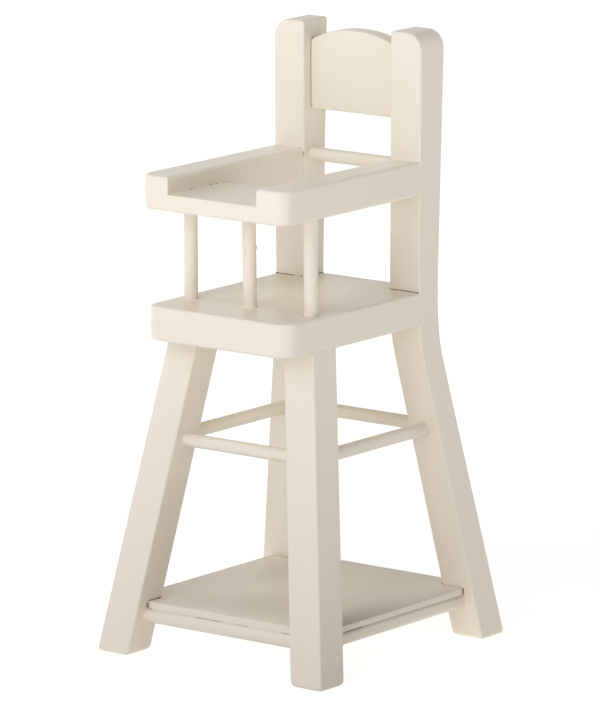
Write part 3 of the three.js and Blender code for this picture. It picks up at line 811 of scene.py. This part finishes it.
postX, postY, sideX, panelY = (v / mm for v in (postInner, postFront, seatHigh.x, panelLow.y))
shelfX, shelfY, shelfZ, underShelfZ = (v / mm for v in (shelfHigh.x, shelfLow.y, shelfHigh.z, shelfLow.z))
seatZ = seatHigh.z / mm
legX = (sectionAt("right_front_leg", shelfHigh.z)[0] - painted("inner", shelfHigh.z)) / mm
rearY = sectionAt("right_rear_post", shelfHigh.z)[2] / mm
onBead = jointBead["tray"] * (1 - math.sqrt(0.5)) / mm
trayX, trayZ = armLow.x / mm - onBead, trayHigh.z / mm + onBead

grime = {"spacing": 0.12 * mm, "taper": 0.3 * mm, "noise": 900.0, "unevenness": 2.0, "sides": 8}
grimeLines = [
    # between the seat and the rear posts
    ((15.9, postY, seatZ), (26.0, postY, seatZ), 0.17),
    ((-26.1, postY, seatZ), (-19.2, postY, seatZ), 0.15),
    ((-17.2, postY, seatZ), (-16.0, postY, seatZ), 0.13),
    ((-postX, 28.5, seatZ), (-postX, 30.7, seatZ), 0.2),
    # along the tray, and up the left arm's end
    ((-trayX, -31.6, trayZ), (-trayX, -29.8, trayZ), 0.08),
    ((-trayX, -22.4, trayZ), (-trayX, -21.0, trayZ), 0.1),
    ((-trayX, -19.9, trayZ), (-trayX, -18.6, trayZ), 0.09),
    ((-trayX, -15.3, trayZ), (-trayX, -14.4, trayZ), 0.08),
    ((-trayX, postY, 138.8), (-trayX, postY, 139.9), 0.05),
    ((-trayX, postY, 133.2), (-trayX, postY, 133.8), 0.03),
    # between the shelf and the rails under it
    ((-9.8, shelfY, underShelfZ), (-5.2, shelfY, underShelfZ), 0.075),
    ((-4.9, shelfY, underShelfZ), (-0.65, shelfY, underShelfZ), 0.09),
    ((21.0, shelfY, underShelfZ), (24.3, shelfY, underShelfZ), 0.08),
    ((shelfX, -26.0, underShelfZ), (shelfX, -17.0, underShelfZ), 0.08),
    ((4.1, shelfY, underShelfZ), (9.1, shelfY, underShelfZ), 0.05),
    # round the legs where they pass the shelf
    ((-legX, -36.9, shelfZ + 0.15), (-legX, -31.0, shelfZ + 0.15), 0.1),
    ((-legX + 0.05, -37.6, 13.5), (-legX + 0.05, -37.6, 15.3), 0.11),
    ((-legX + 0.3, -36.95, 13.2), (-legX + 1.7, -36.95, 13.2), 0.07),
    ((-legX + 1.6, -32.6, shelfZ), (-legX + 2.4, -31.9, shelfZ), 0.05),
    ((-36.0, 34.9, shelfZ), (-31.8, 34.9, shelfZ), 0.08),
    ((25.5, 33.3, shelfZ), (33.0, 33.3, shelfZ), 0.07),
    ((shelfX - 0.05, rearY - 0.15, 13.3), (shelfX - 0.05, rearY - 0.15, 15.3), 0.15),
    # nibs on the panel, at the right arm's joint and on the left post
    ((-15.3, panelY, 172.6), (-15.3, panelY, 173.4), 0.12),
    ((sideX, 21.4, 135.5), (sideX, 21.6, 135.5), 0.12),
    ((-postX, 25.6, 159.2), (-postX, 25.6, 160.0), 0.12),
]

# at each spindle's foot a short dark mark on its right-rear side, one more dark dot at the right spindle's
# foot, and two nibs higher up: x and y are off the axis at the foot
footMark = ((2.08, 0.5, seatZ), (1.08, 1.8, seatZ), 0.09)
spindleMarks = {
    "left": [footMark],
    "middle": [footMark, ((1.38, 1.22, 119.6), (1.38, 1.22, 120.7), 0.13)],
    "right": [footMark, ((-1.55, -1.45, seatZ), (-1.35, -1.65, seatZ), 0.24),
              ((-1.58, -1.22, 111.8), (-1.58, -1.22, 112.4), 0.1)],
}
for place, marks in spindleMarks.items():
    low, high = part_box(place + "_spindle")
    axis = (low + high) / 2 / mm
    axis.x += askew[place][0] / mm
    for start, end, radius in marks:
        ends = [(axis.x + x, axis.y + y, z) for x, y, z in (start, end)]
        grimeLines.append((*ends, radius))


def makeGrime():
    bm = bmesh.new()
    thickness = bm.verts.layers.float.new("thickness")
    for start, end, radius in grimeLines:
        ends = [bm.verts.new(Vector(point) * mm) for point in (start, end)]
        bm.edges.new(ends)
        for vertex in ends:
            vertex[thickness] = radius * mm
    base = bpy.data.meshes.new("grimeLines")
    bm.to_mesh(base)
    bm.free()
    piece = grow("joint_grime", grimeTree(), base, Spacing=grime["spacing"], Taper=grime["taper"],
                 Noise_Scale=grime["noise"], Unevenness=grime["unevenness"], Sides=grime["sides"],
                 Material=paint["grime"])
    settle(piece, "grime")


makeGrime()
print("joint grime made")


# Hidden pins keep their CAD shape

for name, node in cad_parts.items():
    if name.endswith("_pin"):
        node.data.materials.clear()
        node.data.materials.append(paint["bare_wood"])


# Studio

# the two glows of the floor: radius and brightness where each starts to rise and where it is full; the
# glow that lights the chair is a painted bounce light from below, gone round the dim spot as a painted
# shade on the feet;
# lamps up to the inFront angle either side of the front aren't mirrored by the paint
studio = {"floor": 3.0, "grey": 0.8, "seenGrey": 0.55, "seenGlow": ((0.12, 0.77), (0.30, 1.0)),
          "paintedShadeSpot": (0.05, -0.11, 0.0), "paintedBounceGlow": ((0.05, 0.0), (0.20, 0.75)),
          "fill": (0.055, 0.055, 0.055), "inFront": 30}

# azimuth and elevation in degrees, distance, size and the height aimed at in metres, watts per channel
softboxes = {
    "frontSoftbox": (20, 5, 0.7, 0.35, 0.19, (1.113, 1.160, 1.284)),
    "frontLeftSoftbox": (-20, 5, 0.5, 0.25, 0.21, (0.182, 0.190, 0.210)),
    "frontHighSoftbox": (0, 25, 0.45, 0.25, 0.2, (0.575, 0.599, 0.663)),
    "leftHighSoftbox": (-65, 35, 0.5, 0.2, 0.16, (0.310, 0.330, 0.330)),
    "rightSoftbox": (70, 10, 0.3, 0.2, 0.185, (0.132, 0.137, 0.140)),
    "overheadSoftbox": (0, 88, 0.45, 0.3, 0.16, (0.514, 0.510, 0.500)),
    "farLeftSoftbox": (-90, 15, 1.5, 0.9, 0.09, (2.7, 2.7, 2.7)),
    "rearSoftbox": (150, 15, 1.5, 0.9, 0.09, (2.25, 2.25, 2.25)),
}


def grey(level):
    return level, level, level, 1


def seenByCamera(tree):  # also by way of a reflection or through glass
    rays = tree.nodes.new("ShaderNodeLightPath").outputs
    bounced = maths(tree, "MAXIMUM", rays["Is Glossy Ray"], rays["Is Transmission Ray"])
    return maths(tree, "MAXIMUM", rays["Is Camera Ray"], bounced)


def makeFloor():  # pale paper that the camera sees as white, but for the chair's own shadow
    bm = bmesh.new()
    bmesh.ops.create_circle(bm, cap_ends=True, radius=studio["floor"], segments=64)
    mesh = bpy.data.meshes.new("floor")
    bm.to_mesh(mesh)
    bm.free()
    floor = addObject("floor", mesh)
    material = bpy.data.materials.new("paleFloor")
    material.use_nodes = True
    tree = material.node_tree
    paper = tree.nodes["Principled BSDF"]
    paper.inputs["Base Color"].default_value = grey(studio["grey"])
    paper.inputs["Roughness"].default_value = 0.9
    paper.inputs["Emission Color"].default_value = grey(1)
    spot = tree.nodes.new("ShaderNodeTexCoord").outputs["Object"]

    def rising(centre, levels):
        (near, low), (far, high) = levels
        return addNode(tree, "ShaderNodeMapRange", {
            "Value": vectors(tree, "DISTANCE", spot, centre), "From Min": near, "From Max": far,
            "To Min": low, "To Max": high}, interpolation_type="SMOOTHSTEP").outputs[0]

    # for all but the camera the paper glows: a painted bounce light on the chair from below, gone near the
    # dim spot as painted shade
    tree.links.new(rising(studio["paintedShadeSpot"], studio["paintedBounceGlow"]), paper.inputs["Emission Strength"])
    glow = addNode(tree, "ShaderNodeEmission", {"Strength": rising((0, 0, 0), studio["seenGlow"])})
    seenPaper = addNode(tree, "ShaderNodeBsdfDiffuse", {"Color": grey(studio["seenGrey"])})
    seen = addNode(tree, "ShaderNodeAddShader", {0: glow.outputs[0], 1: seenPaper.outputs[0]})
    mix = addNode(tree, "ShaderNodeMixShader", {
        0: seenByCamera(tree), 1: paper.outputs[0], 2: seen.outputs[0]})
    tree.links.new(mix.outputs[0], tree.nodes["Material Output"].inputs["Surface"])
    mesh.materials.append(material)


def makeWorld(colour):
    world = bpy.data.worlds.new("studioWhite")
    scene.world = world
    world.use_nodes = True
    tree = world.node_tree
    fill = tree.nodes["Background"]
    fill.inputs["Color"].default_value = (*colour, 1)
    fill.inputs["Strength"].default_value = 1.0
    white = addNode(tree, "ShaderNodeBackground", {"Color": grey(1), "Strength": 1.0})
    mix = addNode(tree, "ShaderNodeMixShader", {
        0: seenByCamera(tree), 1: fill.outputs[0], 2: white.outputs[0]})
    tree.links.new(mix.outputs[0], tree.nodes["World Output"].inputs["Surface"])


def bearing(azimuth, elevation):  # the way to a lamp or the camera, from the front round to the right
    a, e = math.radians(azimuth), math.radians(elevation)
    return Vector((math.sin(a) * math.cos(e), -math.cos(a) * math.cos(e), math.sin(e)))


def addSoftbox(name, azimuth, elevation, distance, size, aim, colour):
    lamp = bpy.data.lights.new(name, "AREA")
    lamp.shape = "SQUARE"
    lamp.size = size
    lamp.energy = max(colour)
    lamp.color = [channel / lamp.energy for channel in colour]
    box = bpy.data.objects.new(name, lamp)
    towards = bearing(azimuth, elevation)
    box.location = Vector((0, 0, aim)) + towards * distance
    box.rotation_euler = (-towards).to_track_quat("-Z", "Y").to_euler()
    box.visible_camera = False
    # seen from behind, the lamps in front and overhead would glare on the seat and the arms
    box.visible_glossy = abs(azimuth) > studio["inFront"]
    scene.collection.objects.link(box)


makeFloor()
makeWorld(studio["fill"])
for name, values in softboxes.items():
    addSoftbox(name, *values)


# Camera, where the photographer stood

view = {"azimuth": 37.56, "elevation": 11.43, "roll": -0.093, "distance": 1.9588, "lens": 347.37,
        "sensor": 36, "clip": (0.1, 20), "aim": (-0.21 * mm, -0.235 * mm, 85.92 * mm)}


def makeCamera():
    back = bearing(view["azimuth"], view["elevation"])
    data = bpy.data.cameras.new("camera")
    data.lens = view["lens"]
    data.sensor_width = view["sensor"]
    data.clip_start, data.clip_end = view["clip"]
    camera = bpy.data.objects.new("camera", data)
    camera.location = Vector(view["aim"]) + back * view["distance"]
    turn = (-back).to_track_quat("-Z", "Y").to_matrix()
    camera.rotation_euler = (turn @ Matrix.Rotation(math.radians(view["roll"]), 3, "Z")).to_euler()
    scene.collection.objects.link(camera)
    scene.camera = camera


makeCamera()
scene.view_settings.view_transform = "Standard"

print("studio and camera made")
